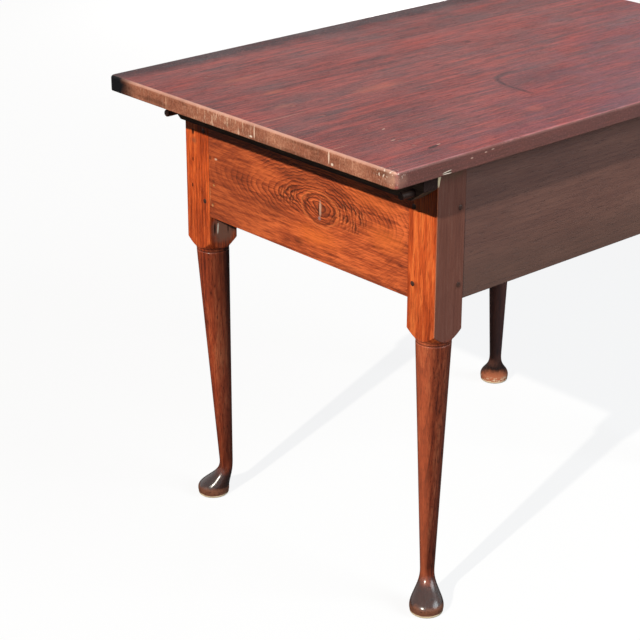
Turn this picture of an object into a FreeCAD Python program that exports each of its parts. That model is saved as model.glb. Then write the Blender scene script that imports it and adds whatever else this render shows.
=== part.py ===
import FreeCAD, Part
import math
import os

# Tavern table: a lift-off board top, cleated with two end battens and pinned to a
# joined frame on four offset-turned pad-foot legs.
# Millimetres. X runs along the table, Y across it, Z up. The origin is on the floor
# under the middle of the table.

# Overall sizes
table_height = 737.0
frame_length = 730.0
frame_width = 552.0
end_overhang = 115.0
side_overhang = 36.0

# Top boards, as shares of the top's width from the -Y side; the last takes what is left
top_thickness = 24.0
near_board_share = 0.2083
second_board_share = 0.2468
third_board_share = 0.3205
top_corner_radius = 8.0
top_arris_radius = 4.0
top_under_arris = 1.5

# Leg stile, the square upper part of a leg
stile_width = 55.5
square_length = 252.0
stile_arris = 1.5

# Turned part of a leg
shoulder_height = 16.0
neck_diameter = 52.4
neck_groove_drop = 11.0
neck_groove_width = 2.2
neck_groove_depth = 0.8
ankle_diameter = 21.2
ankle_height = 54.0
ankle_inset = 15.2
pad_diameter = 52.0
pad_outset = 7.0
pad_height = 18.0
pad_lip = 5.0
pad_ease = 1.6
tread_diameter = 42.0
instep_steps = 6
shaft_steps = 5

# Aprons and their joints
apron_depth = 208.0
apron_thickness = 22.0
apron_setback = 1.0
apron_arris = 1.5
tenon_thickness = 9.0
tenon_end_wall = 2.5
tenon_bottom_shoulder = 12.0
tenon_top_shoulder = 22.0
mortise_gap = 1.0

# Pegs that lock the tenons
peg_diameter = 8.0
peg_inset = 10.5
peg_low_rise = 24.0
peg_high_drop = 70.0
peg_proud = 0.6
peg_end_wall = 4.0
peg_clearance = 0.05

# Battens under the end overhangs
batten_thickness = 27.0
batten_depth = 50.0
batten_gap = 0.5
batten_end_run = 24.0
batten_end_rise = 18.0

# Pins that pass through the battens into the stiles; they are drawn back at rest
pin_diameter = 11.4
pin_inset = 20.0
pin_drop = 37.0
pin_stand = 24.0
pin_withdrawn = 0.4
pin_clearance = 0.08
pin_socket_depth = 20.0

# Nails that hold the boards to the battens
nails_per_board = 2
nail_edge = 32.0
nail_shank = 4.0
nail_head = 9.0
nail_head_height = 1.6
nail_sink = 0.3
nail_length = 58.0
nail_clearance = 0.1
nail_pin_wall = 6.0

# Derived planes
half_length = frame_length / 2
half_width = frame_width / 2
frame_top = table_height - top_thickness
apron_bottom = frame_top - apron_depth
square_end = frame_top - square_length
neck_level = square_end - shoulder_height
pin_level = frame_top - pin_drop
tenon_length = stile_width - pin_inset - pin_diameter / 2 - tenon_end_wall
tenon_face = apron_setback + (apron_thickness - tenon_thickness) / 2
peg_length = stile_width - peg_inset - peg_diameter / 2 - peg_end_wall
peg_levels = (apron_bottom + peg_low_rise, frame_top - peg_high_drop)
up = FreeCAD.Vector(0, 0, 1)
ends = {"left": -1, "right": 1}
sides = {"front": -1, "back": 1}


def save(name, shape):
    shape.exportStep("parts/" + name + ".step")


def span_box(first, second):
    low = FreeCAD.Vector(*[min(pair) for pair in zip(first, second)])
    size = FreeCAD.Vector(*[abs(a - b) for a, b in zip(first, second)])
    return Part.makeBox(size.x, size.y, size.z, low)


# A point of one corner of the frame: in_x and in_y are measured inward from the
# stile's two outer faces.
def corner_point(end, side, in_x, in_y, level):
    return FreeCAD.Vector(end * (half_length - in_x), side * (half_width - in_y), level)


def corner_box(end, side, in_x, in_y, levels):
    first = corner_point(end, side, in_x[0], in_y[0], levels[0])
    second = corner_point(end, side, in_x[1], in_y[1], levels[1])
    return span_box(first, second)


# The two tenons of a corner, grown at the blind end to make their mortises
def corner_tenons(end, side, extra):
    across = (tenon_face, tenon_face + tenon_thickness)
    along = (stile_width - tenon_length - extra, stile_width)
    levels = (apron_bottom + tenon_bottom_shoulder, frame_top - tenon_top_shoulder)
    end_tenon = corner_box(end, side, across, along, levels)
    long_tenon = corner_box(end, side, along, across, levels)
    return end_tenon, long_tenon


# A riven peg, eight-sided, from its outer end along a direction
def octagon_peg(start, direction, across, length):
    radius = across / 2 / math.cos(math.pi / 8)
    across_peg = direction.cross(up)
    corners = []
    for number in range(9):
        turn = math.pi / 8 + number * math.pi / 4
        corners.append(start + across_peg * radius * math.cos(turn) + up * radius * math.sin(turn))
    return Part.Face(Part.makePolygon(corners)).extrude(direction * length)


# The four pegs of a corner: two through the end tenon, two through the long tenon
def corner_pegs(end, side, clearance):
    across = peg_diameter + 2 * clearance
    length = peg_proud + peg_length + clearance
    into_end = FreeCAD.Vector(-end, 0, 0)
    into_side = FreeCAD.Vector(0, -side, 0)
    pegs = []
    for level in peg_levels:
        end_start = corner_point(end, side, -peg_proud, stile_width - peg_inset, level)
        side_start = corner_point(end, side, stile_width - peg_inset, -peg_proud, level)
        pegs.append(octagon_peg(end_start, into_end, across, length))
        pegs.append(octagon_peg(side_start, into_side, across, length))
    return pegs


# A point on the leg's middle line, moved outward along the corner's diagonal
def leg_centre(end, side, level, outset):
    inward = stile_width / 2 - outset / math.sqrt(2)
    return corner_point(end, side, inward, inward, level)


# Radius, level and outset of a ring of the straight shaft, which leans in from the neck
# to the ankle
def shaft_at(level, cut):
    share = (neck_level - level) / (neck_level - ankle_height)
    radius = neck_diameter / 2 + share * (ankle_diameter - neck_diameter) / 2
    return radius - cut, level, -share * ankle_inset


# Radius, level and outset down the instep, which swells from the ankle to the pad in an
# easy double curve
def instep_at(share):
    flare = share * share * (3 - 2 * share)
    radius = ankle_diameter / 2 + flare * (pad_diameter - ankle_diameter) / 2
    outset = -ankle_inset + flare * (pad_outset + ankle_inset)
    return radius, ankle_height + share * (pad_height - ankle_height), outset


# A solid turned on an upright axis from an outline of (radius, level) pairs
def turned(outline, centre):
    points = [FreeCAD.Vector(radius, 0, level) for radius, level in outline]
    solid = Part.Face(Part.makePolygon(points + points[:1])).revolve(FreeCAD.Vector(), up, 360)
    solid.translate(centre)
    return solid


# The square blank and what the first turning leaves of it: full stile and coned shoulder
def turned_stile(end, side):
    stile_radius = stile_width / math.sqrt(2)
    outline = [
        (0, neck_level),
        (neck_diameter / 2, neck_level),
        (stile_radius, square_end),
        (stile_radius, frame_top),
        (0, frame_top),
    ]
    square = (0, stile_width)
    blank = corner_box(end, side, square, square, (neck_level, frame_top))
    upright = [edge for edge in blank.Edges if edge.BoundBox.ZLength > square_length]
    blank = blank.makeChamfer(stile_arris, upright)
    return blank.common(turned(outline, leg_centre(end, side, 0, 0)))


# Every turned ring from the pad's rim up to the neck: the instep swells out of the thin
# ankle, the shaft leans out again, and a line is scribed below the neck
def shaft_rings():
    rings = [instep_at(1 - step / instep_steps) for step in range(instep_steps + 1)]
    groove_level = neck_level - neck_groove_drop
    for step in range(1, shaft_steps):
        level = ankle_height + (groove_level - ankle_height) * step / shaft_steps
        rings.append(shaft_at(level, 0))
    rings.append(shaft_at(groove_level - neck_groove_width / 2, 0))
    rings.append(shaft_at(groove_level, neck_groove_depth))
    rings.append(shaft_at(groove_level + neck_groove_width / 2, 0))
    rings.append(shaft_at(neck_level, 0))
    return rings


def turned_shaft(end, side):
    wires = []
    for radius, level, outset in shaft_rings():
        centre = leg_centre(end, side, level, outset)
        wires.append(Part.Wire(Part.makeCircle(radius, centre, up)))
    return Part.makeLoft(wires, True, True)


# The pad is turned on its own axis: an upright rim, eased under to the tread
def turned_pad(end, side):
    rim = pad_diameter / 2
    tread = tread_diameter / 2
    outline = [
        (0, 0),
        (tread, 0),
        (rim - pad_ease, pad_ease),
        (rim, pad_lip),
        (rim, pad_height),
        (0, pad_height),
    ]
    return turned(outline, leg_centre(end, side, 0, pad_outset))


def make_leg(end, side):
    leg = turned_stile(end, side).fuse([turned_shaft(end, side), turned_pad(end, side)])
    leg = leg.removeSplitter()
    socket_mouth = corner_point(end, side, 0, pin_inset, pin_level)
    socket_radius = pin_diameter / 2 + pin_clearance
    into_stile = FreeCAD.Vector(-end, 0, 0)
    cuts = [Part.makeCylinder(socket_radius, pin_socket_depth, socket_mouth, into_stile)]
    cuts.extend(corner_tenons(end, side, mortise_gap))
    cuts.extend(corner_pegs(end, side, peg_clearance))
    return leg.cut(cuts)


# A board with softened lower edges, ready for its tenons
def apron_board(first, second, long_axis):
    board = span_box(first, second)
    lower = []
    for edge in board.Edges:
        spans = (edge.BoundBox.XLength, edge.BoundBox.YLength)
        runs_along = spans[long_axis] > apron_thickness * 2
        if runs_along and edge.BoundBox.ZMax < apron_bottom + apron_arris:
            lower.append(edge)
    return board.makeChamfer(apron_arris, lower)


def make_end_apron(end):
    first = corner_point(end, -1, apron_setback, stile_width, apron_bottom)
    second = corner_point(end, 1, apron_setback + apron_thickness, stile_width, frame_top)
    apron = apron_board(first, second, 1)
    holes = []
    for side in sides.values():
        apron = apron.fuse(corner_tenons(end, side, 0)[0])
        holes.extend(corner_pegs(end, side, peg_clearance))
    return apron.cut(holes)


def make_long_apron(side):
    first = corner_point(-1, side, stile_width, apron_setback, apron_bottom)
    second = corner_point(1, side, stile_width, apron_setback + apron_thickness, frame_top)
    apron = apron_board(first, second, 0)
    holes = []
    for end in ends.values():
        apron = apron.fuse(corner_tenons(end, side, 0)[1])
        holes.extend(corner_pegs(end, side, peg_clearance))
    return apron.cut(holes)


# The whole top with its rounded corners and edges, before it is divided into boards
def top_slab():
    reach_x = half_length + end_overhang
    reach_y = half_width + side_overhang
    slab = span_box((-reach_x, -reach_y, frame_top), (reach_x, reach_y, table_height))
    upright = [edge for edge in slab.Edges if edge.BoundBox.ZLength > top_thickness / 2]
    slab = slab.makeFillet(top_corner_radius, upright)
    upper = [edge for edge in slab.Edges if edge.BoundBox.ZMin > table_height - top_arris_radius]
    slab = slab.makeFillet(top_arris_radius, upper)
    lower = [edge for edge in slab.Edges if edge.BoundBox.ZMax < frame_top + top_under_arris]
    return slab.makeChamfer(top_under_arris, lower)


def board_seams():
    near_edge = -half_width - side_overhang
    seams = [near_edge]
    for share in (near_board_share, second_board_share, third_board_share):
        seams.append(seams[-1] - 2 * near_edge * share)
    return seams + [-near_edge]


# Nail places along a batten: evenly across each board, clear of the board's edges and
# of the pins at the batten's ends
def nail_rows():
    seams = board_seams()
    limit = half_width - pin_inset - pin_diameter / 2 - nail_pin_wall - nail_shank / 2
    rows = []
    for low, high in zip(seams[:-1], seams[1:]):
        first = max(low + nail_edge, -limit)
        last = min(high - nail_edge, limit)
        for count in range(nails_per_board):
            rows.append(first + (last - first) * count / max(nails_per_board - 1, 1))
    return rows


# Square wrought nails, their flat heads let in just below the surface
def make_nails(end, clearance):
    middle = end * (half_length + batten_gap + batten_thickness / 2)
    head_top = table_height - nail_sink
    head_half = nail_head / 2 + clearance
    shank_half = nail_shank / 2 + clearance
    nails = []
    for row in nail_rows():
        head = span_box(
            (middle - head_half, row - head_half, head_top - nail_head_height - clearance),
            (middle + head_half, row + head_half, head_top),
        )
        shank = span_box(
            (middle - shank_half, row - shank_half, head_top - nail_length - clearance),
            (middle + shank_half, row + shank_half, head_top),
        )
        nails.append(head.fuse(shank).removeSplitter())
    return nails


# What the nails need cut out: the same shapes, a little larger and open to the air above
def nail_holes(end):
    holes = []
    for nail in make_nails(end, nail_clearance):
        box = nail.BoundBox
        mouth = span_box((box.XMin, box.YMin, box.ZMax), (box.XMax, box.YMax, table_height))
        holes.append(nail.fuse(mouth))
    return holes


def make_batten(end):
    near_face = half_length + batten_gap
    bottom = frame_top - batten_depth
    outline = [
        FreeCAD.Vector(end * near_face, -half_width, frame_top),
        FreeCAD.Vector(end * near_face, -half_width, bottom + batten_end_rise),
        FreeCAD.Vector(end * near_face, -half_width + batten_end_run, bottom),
        FreeCAD.Vector(end * near_face, half_width - batten_end_run, bottom),
        FreeCAD.Vector(end * near_face, half_width, bottom + batten_end_rise),
        FreeCAD.Vector(end * near_face, half_width, frame_top),
    ]
    profile = Part.Face(Part.makePolygon(outline + outline[:1]))
    batten = profile.extrude(FreeCAD.Vector(end * batten_thickness, 0, 0))
    cuts = nail_holes(end)
    for side in sides.values():
        mouth = corner_point(end, side, -batten_gap, pin_inset, pin_level)
        outward = FreeCAD.Vector(end, 0, 0)
        radius = pin_diameter / 2 + pin_clearance
        cuts.append(Part.makeCylinder(radius, batten_thickness, mouth, outward))
    return batten.cut(cuts)


# A whittled pin, eight-sided with its corners bearing in the round hole, drawn back
# until its inner end is inside the batten
def make_pin(end, side):
    inner = corner_point(end, side, -batten_gap - pin_withdrawn, pin_inset, pin_level)
    length = batten_thickness - pin_withdrawn + pin_stand
    across = pin_diameter * math.cos(math.pi / 8)
    return octagon_peg(inner, FreeCAD.Vector(end, 0, 0), across, length)


def make_boards():
    holes = nail_holes(-1) + nail_holes(1)
    slab = top_slab().cut(holes)
    seams = board_seams()
    reach = half_length + end_overhang
    boards = []
    for low, high in zip(seams[:-1], seams[1:]):
        strip = span_box((-reach, low, frame_top), (reach, high, table_height))
        boards.append(slab.common(strip))
    return boards


os.makedirs("parts", exist_ok=True)

for number, board in enumerate(make_boards(), 1):
    save("top_board_" + str(number), board)

for end_name, end in ends.items():
    save("batten_" + end_name, make_batten(end))
    save("batten_nails_" + end_name, Part.makeCompound(make_nails(end, 0)))
    save("end_apron_" + end_name, make_end_apron(end))
    for side_name, side in sides.items():
        corner = end_name + "_" + side_name
        save("leg_" + corner, make_leg(end, side))
        save("tenon_pegs_" + corner, Part.makeCompound(corner_pegs(end, side, 0)))
        save("top_pin_" + corner, make_pin(end, side))

for side_name, side in sides.items():
    save("long_apron_" + side_name, make_long_apron(side))
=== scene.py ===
import math
import bpy
from mathutils import Matrix, Vector


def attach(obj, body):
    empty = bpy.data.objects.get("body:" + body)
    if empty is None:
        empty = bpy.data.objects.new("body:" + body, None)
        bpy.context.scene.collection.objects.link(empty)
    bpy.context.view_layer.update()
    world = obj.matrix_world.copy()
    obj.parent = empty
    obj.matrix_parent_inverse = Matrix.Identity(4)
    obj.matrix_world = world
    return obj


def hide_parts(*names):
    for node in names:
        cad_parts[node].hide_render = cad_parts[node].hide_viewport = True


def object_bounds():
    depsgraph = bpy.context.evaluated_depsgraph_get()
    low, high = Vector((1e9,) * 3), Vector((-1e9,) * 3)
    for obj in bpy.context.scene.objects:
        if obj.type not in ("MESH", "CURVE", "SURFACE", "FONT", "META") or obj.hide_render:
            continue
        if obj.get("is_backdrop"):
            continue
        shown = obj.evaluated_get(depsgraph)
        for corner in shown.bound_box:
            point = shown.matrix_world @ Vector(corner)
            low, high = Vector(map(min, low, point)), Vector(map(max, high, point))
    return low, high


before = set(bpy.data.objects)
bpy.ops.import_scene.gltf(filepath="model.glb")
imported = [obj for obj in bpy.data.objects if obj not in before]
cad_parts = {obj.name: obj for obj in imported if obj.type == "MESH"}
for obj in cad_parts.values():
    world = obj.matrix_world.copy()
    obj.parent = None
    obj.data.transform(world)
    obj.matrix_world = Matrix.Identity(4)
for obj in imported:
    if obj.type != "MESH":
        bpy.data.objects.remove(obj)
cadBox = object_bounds()
scene = bpy.context.scene
corners = {"left_front": (-1, -1), "left_back": (-1, 1), "right_front": (1, -1), "right_back": (1, 1)}
endNames = {"left": -1, "right": 1}
sideNames = {"front": -1, "back": 1}
print("table frame loaded:", len(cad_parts), "nodes")


# modelling helpers

def makeActive(piece):
    bpy.ops.object.select_all(action="DESELECT")
    piece.select_set(True)
    bpy.context.view_layer.objects.active = piece


def enterEdit(piece):  # edit mode, with the whole mesh selected
    makeActive(piece)
    bpy.ops.object.mode_set(mode="EDIT")
    bpy.ops.mesh.select_all(action="SELECT")


def leaveEdit():
    bpy.ops.object.mode_set(mode="OBJECT")


def settle(name):  # names what was just added and puts its place into its mesh
    piece = bpy.context.object
    piece.name = name
    piece.data.name = name
    bpy.ops.object.transform_apply(location=True, rotation=True, scale=True)
    return piece


def sawnBlock(name, first, second):
    low = Vector(map(min, first, second))
    high = Vector(map(max, first, second))
    bpy.ops.object.select_all(action="DESELECT")
    bpy.ops.mesh.primitive_cube_add(size=1, location=(low + high) / 2)
    bpy.context.object.scale = high - low
    return settle(name)


def roundRod(name, sides, radius, start, end):
    run = end - start
    turn = run.to_track_quat("Z", "Y").to_euler()
    bpy.ops.object.select_all(action="DESELECT")
    bpy.ops.mesh.primitive_cylinder_add(
        vertices=sides, radius=radius, depth=run.length, location=(start + end) / 2, rotation=turn)
    return settle(name)


def clearPicks(piece, kind):
    enterEdit(piece)
    bpy.ops.mesh.select_mode(type=kind)
    bpy.ops.mesh.select_all(action="DESELECT")
    leaveEdit()


def pickEdges(piece, test):  # leaves edit mode on, with the edges that pass selected
    clearPicks(piece, "EDGE")
    points = piece.data.vertices
    for edge in piece.data.edges:
        edge.select = test(points[edge.vertices[0]].co, points[edge.vertices[1]].co)
    bpy.ops.object.mode_set(mode="EDIT")


def pickFaces(piece, test):  # the same for faces
    clearPicks(piece, "FACE")
    for face in piece.data.polygons:
        face.select = test(face.center, face.normal)
    bpy.ops.object.mode_set(mode="EDIT")


def pull(run):  # extrudes what is picked
    bpy.ops.mesh.extrude_region_move(TRANSFORM_OT_translate={"value": run})


def easeEdges(piece, width, steps, test):
    pickEdges(piece, test)
    bpy.ops.mesh.bevel(offset=width, segments=steps, profile=0.5, affect="EDGES")
    leaveEdit()


def sawOff(piece, onPlane, outward):  # takes away what lies beyond a plane
    enterEdit(piece)
    bpy.ops.mesh.bisect(plane_co=onPlane, plane_no=outward, use_fill=True, clear_outer=True)
    leaveEdit()


def shapeWith(piece, tool, operation="DIFFERENCE"):
    change = piece.modifiers.new("shape", "BOOLEAN")
    change.operation = operation
    change.solver = "EXACT"
    change.object = tool
    makeActive(piece)
    bpy.ops.object.modifier_apply(modifier=change.name)
    bpy.data.objects.remove(tool, do_unlink=True)


def faceOut(piece):  # merges doubles and turns every face outwards
    enterEdit(piece)
    bpy.ops.mesh.remove_doubles(threshold=0.000002)
    bpy.ops.mesh.normals_make_consistent(inside=False)
    leaveEdit()


def finished(piece, degrees=32):  # flat faces keep their own normals, eased edges blend into them
    faceOut(piece)
    makeActive(piece)
    bpy.ops.mesh.customdata_custom_splitnormals_clear()
    bpy.ops.object.shade_smooth_by_angle(angle=math.radians(degrees))
    level = piece.modifiers.new("level", "WEIGHTED_NORMAL")
    level.mode = "FACE_AREA"
    level.weight = 60
    level.keep_sharp = True
    bpy.ops.object.modifier_apply(modifier=level.name)
    return piece


def copied(piece):  # a copy with its own mesh
    makeActive(piece)
    bpy.ops.object.duplicate()
    return bpy.context.object


def joined(pieces, name):
    bpy.ops.object.select_all(action="DESELECT")
    for piece in pieces:
        piece.select_set(True)
    bpy.context.view_layer.objects.active = pieces[0]
    bpy.ops.object.join()
    return settle(name)


def near(value, target, reach=0.00002):
    return abs(value - target) < reach


def edgeAt(level):  # tests for edges that lie at one height
    return lambda a, b: near(a.z, level) and near(b.z, level)


def edgeAcross(place, run):  # tests for edges in the plane through a place, square to a run
    return lambda a, b: near((a - place).dot(run), 0) and near((b - place).dot(run), 0)


# frame of the table: outer faces of the stiles, shared by legs, aprons, pegs and battens
tableFrame = {"halfLength": 0.365, "halfWidth": 0.276, "stile": 0.0555, "top": 0.713}


def cornerPoint(corner, inX, inY, level):  # measured inward from a stile's two outer faces
    return Vector((
        corner[0] * (tableFrame["halfLength"] - inX),
        corner[1] * (tableFrame["halfWidth"] - inY),
        level))


# square nails, modelled once for a batten line and copied along it
battenNails = {
    "inset": 0.379, "rows": (-0.24233, -0.214, -0.15, -0.06, 0.004, 0.14, 0.204, 0.24233),
    "headTop": 0.73685, "headHalf": 0.0036, "headHeight": 0.0016, "rimWidth": 0.0014, "rimDrop": 0.0002,
    "shankHalf": 0.0019, "point": 0.6789, "pointLength": 0.008, "pointShare": 0.3,
    "shankPlay": 0.0001, "headPlay": 0.00006, "headRoom": 0.0001, "pointRoom": 0.0004, "overrun": 0.001,
    "shade": 25,
}


def makeNail(name, x, y):
    n = battenNails
    half, seat = n["headHalf"], n["headTop"] - n["headHeight"]
    nail = sawnBlock(name, (x - half, y - half, seat), (x + half, y + half, n["headTop"]))
    pickFaces(nail, lambda centre, normal: normal.z < -0.9)
    bpy.ops.mesh.inset(thickness=half - n["shankHalf"])
    pull((0, 0, n["point"] + n["pointLength"] - n["headTop"] + n["headHeight"]))
    pull((0, 0, -n["pointLength"]))
    share = n["pointShare"]
    bpy.ops.transform.resize(value=(share, share, 1), center_override=(x, y, n["point"]))
    leaveEdit()
    pickFaces(nail, lambda centre, normal: normal.z > 0.9)
    bpy.ops.mesh.inset(thickness=n["rimWidth"])
    leaveEdit()
    onTop = edgeAt(n["headTop"])
    atRim = lambda point: max(abs(point.x - x), abs(point.y - y)) > half * 0.9
    pickEdges(nail, lambda a, b: onTop(a, b) and atRim(a) and atRim(b))
    bpy.ops.transform.translate(value=(0, 0, -n["rimDrop"]))
    leaveEdit()
    return nail


def makeNailLine(end):
    name = "nails_" + end
    rows = battenNails["rows"]
    first = makeNail(name, endNames[end] * battenNails["inset"], rows[0])
    line = [first]
    for y in rows[1:]:
        copied(first).location = (0, y - rows[0], 0)
        line.append(settle(name))
    return finished(joined(line, name), battenNails["shade"])


def cutNailHoles(piece, low, high, upper):  # holes for the nails between two edges
    n = battenNails
    cuts = [(n["shankHalf"] + n["shankPlay"], n["point"] - n["pointRoom"])]
    if upper > n["headTop"]:
        cuts.append((n["headHalf"] + n["headPlay"], n["headTop"] - n["headHeight"] - n["headRoom"]))
    spread = [point.co.x for point in piece.data.vertices]
    for x in (-n["inset"], n["inset"]):
        for y in n["rows"]:
            if low < y < high and min(spread) < x < max(spread):
                for half, bottom in cuts:
                    shapeWith(piece, sawnBlock("hole", (x - half, y - half, bottom),
                                               (x + half, y + half, upper + n["overrun"])))


# four top boards
tableTop = {
    "halfLength": 0.48, "under": 0.713, "upper": 0.737,
    "seams": (-0.312, -0.182, -0.028, 0.172, 0.312),
    "cornerRound": 0.008, "cornerSteps": 7, "arris": 0.0042, "arrisSteps": 5,
    "underArris": 0.0016, "seamEase": 0.00012, "easeSteps": 2, "seamBand": 0.005,
}


def makeBoard(number):
    t = tableTop
    low, high = t["seams"][number - 1], t["seams"][number]
    board = sawnBlock("board_" + str(number), (-t["halfLength"], low, t["under"]),
                      (t["halfLength"], high, t["upper"]))
    inner = [y for y in (low, high) if y in t["seams"][1:-1]]
    onSeam = lambda a, b: any(near(a.y, y) and near(b.y, y) for y in inner)
    onUpper, onUnder = edgeAt(t["upper"]), edgeAt(t["under"])
    band = t["upper"] - t["seamBand"]
    easeEdges(board, t["cornerRound"], t["cornerSteps"],
              lambda a, b: not near(a.z, b.z) and not onSeam(a, b))
    easeEdges(board, t["arris"], t["arrisSteps"], lambda a, b: onUpper(a, b) and not onSeam(a, b))
    easeEdges(board, t["underArris"], t["easeSteps"], lambda a, b: onUnder(a, b) and not onSeam(a, b))
    easeEdges(board, t["seamEase"], t["easeSteps"], lambda a, b: onSeam(a, b) and min(a.z, b.z) > band)
    cutNailHoles(board, low, high, t["upper"])
    return finished(board)


# one leg, turned from rings of (level, radius, outset along the corner's diagonal)
legTurning = {
    "sides": 96, "padRadius": 0.026, "padOutset": 0.007, "padTop": 0.012,
    "padSide": ((0.0, 0.021), (0.0004, 0.0222), (0.0011, 0.0236), (0.0021, 0.0247), (0.0034, 0.0252),
                (0.0046, 0.0253), (0.0053, 0.025), (0.0059, 0.025), (0.0067, 0.0256), (0.0084, 0.0259),
                (0.0105, 0.026)),
    "swell": 0.07, "swellSteps": 35, "ankle": 0.054, "ankleRadius": 0.0106, "ankleInset": 0.0152,
    "shaftStart": 0.0784, "shaftStep": 0.0144, "shaftRings": 25, "neck": 0.445, "neckRadius": 0.0262,
    "groove": 0.4408, "grooveDepth": 0.0008, "grooveHalf": 0.0018,
    "squareEnd": 0.461, "squareRadius": 0.03924, "stockRadius": 0.0412, "stockStart": 0.467, "stockTop": 0.72,
    "arris": 0.0016, "arrisSteps": 3, "blankLow": 0.3, "blankStep": 0.01, "blankSpread": 2, "blankDrop": 0.31,
    "shade": 26,
}


def legRings():
    g = legTurning
    pad = g["padOutset"]

    def shaft(level, cut=0.0):
        share = (g["neck"] - level) / (g["neck"] - g["ankle"])
        radius = g["neckRadius"] + share * (g["ankleRadius"] - g["neckRadius"]) - cut
        return level, radius, -share * g["ankleInset"]

    rings = [(level, radius, pad) for level, radius in g["padSide"]]
    for step in range(g["swellSteps"] + 1):  # a double curve swells from the thin ankle to the pad
        share = 1 - step / g["swellSteps"]
        flare = (share * share * (3 - 2 * share)) ** 2
        level, radius, outset = shaft(g["swell"] + share * (g["padTop"] - g["swell"]))
        rings.append((level, radius + flare * (g["padRadius"] - radius), outset + flare * (pad - outset)))
    rings += [shaft(g["shaftStart"] + g["shaftStep"] * step) for step in range(g["shaftRings"])]
    for rise, share in ((-1, 0), (-0.5, 0.6), (0, 1), (0.5, 0.6), (1, 0)):  # the scribed line
        rings.append(shaft(g["groove"] + rise * g["grooveHalf"], share * g["grooveDepth"]))
    rings += [(g["neck"], g["neckRadius"], 0), (g["squareEnd"], g["squareRadius"], 0)]
    return rings + [(g[level], g["stockRadius"], 0) for level in ("stockStart", "stockTop")]


def makeLeg():
    g = legTurning
    corner = corners["left_front"]
    stile = tableFrame["stile"]
    rings = legRings()

    def ringCentre(ring):
        inward = stile / 2 - ring[2] / math.sqrt(2)
        return cornerPoint(corner, inward, inward, ring[0])

    bpy.ops.object.select_all(action="DESELECT")
    bpy.ops.mesh.primitive_circle_add(
        vertices=g["sides"], radius=rings[0][1], fill_type="NGON", location=ringCentre(rings[0]))
    leg = settle("leg")
    enterEdit(leg)
    for last, ring in zip(rings[:-1], rings[1:]):
        pull(ringCentre(ring) - ringCentre(last))
        grow = ring[1] / last[1]
        bpy.ops.transform.resize(value=(grow, grow, 1), center_override=ringCentre(ring))
    leaveEdit()
    faceOut(leg)
    # the square blank that the turning is cut from, flared below so that it leaves the foot alone
    blank = sawnBlock("blank", cornerPoint(corner, 0, 0, g["blankLow"]),
                      cornerPoint(corner, stile, stile, tableFrame["top"]))
    easeEdges(blank, g["arris"], g["arrisSteps"], lambda a, b: not near(a.z, b.z))
    pickFaces(blank, lambda centre, normal: normal.z < -0.9)
    pull((0, 0, -g["blankStep"]))
    bpy.ops.transform.resize(value=(g["blankSpread"], g["blankSpread"], 1),
                             center_override=cornerPoint(corner, stile / 2, stile / 2, g["blankLow"]))
    pull((0, 0, -g["blankDrop"]))
    leaveEdit()
    faceOut(blank)
    shapeWith(leg, blank, "INTERSECT")
    for tool in mortiseTools(corner) + pegTools(corner):
        shapeWith(leg, tool)
    mouth = cornerPoint(corner, -topPins["socketMouth"], topPins["inset"], topPins["level"])
    shapeWith(leg, pinBore("socket", mouth, topPins["socketRun"]))
    return finished(leg, g["shade"])


def mirroredLeg(leg, corner):  # the left front leg, flipped across the middle planes to another corner
    copied(leg).scale = (-corner[0], -corner[1], 1)
    return finished(settle("leg"), legTurning["shade"])


# a splinter is gone from the top of the near corner's stile
stileBreak = {
    "low": (-0.3656, -0.2766, 0.6818), "high": (-0.356, -0.2725, 0.714),
    "onFace": (-0.357, -0.276, 0.713), "inward": (0.35, 0.93, -0.084),
}


def breakStile(piece):
    splinter = sawnBlock("splinter", stileBreak["low"], stileBreak["high"])
    sawOff(splinter, stileBreak["onFace"], stileBreak["inward"])
    faceOut(splinter)
    shapeWith(piece, splinter)
    finished(piece, legTurning["shade"])


# aprons with a bare-faced tenon on each end
tableAprons = {
    "bottom": 0.505, "thickness": 0.022, "setback": 0.001, "arris": 0.0016, "arrisSteps": 3,
    "tenonFace": 0.0075, "tenonThickness": 0.009, "tenonReach": 0.0273, "tenonLow": 0.517, "tenonHigh": 0.691,
    "jointGap": 0.0003, "mortiseSpare": 0.001, "mortiseMouth": 0.002,
}


def mortiseTools(corner):
    a = tableAprons
    face, back = a["tenonFace"], a["tenonFace"] + a["tenonThickness"]
    stop = tableFrame["stile"] - a["tenonReach"] - a["mortiseSpare"]
    mouth = tableFrame["stile"] + a["mortiseMouth"]
    return [
        sawnBlock("mortise", cornerPoint(corner, face, stop, a["tenonLow"]),
                  cornerPoint(corner, back, mouth, a["tenonHigh"])),
        sawnBlock("mortise", cornerPoint(corner, stop, face, a["tenonLow"]),
                  cornerPoint(corner, mouth, back, a["tenonHigh"])),
    ]


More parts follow.
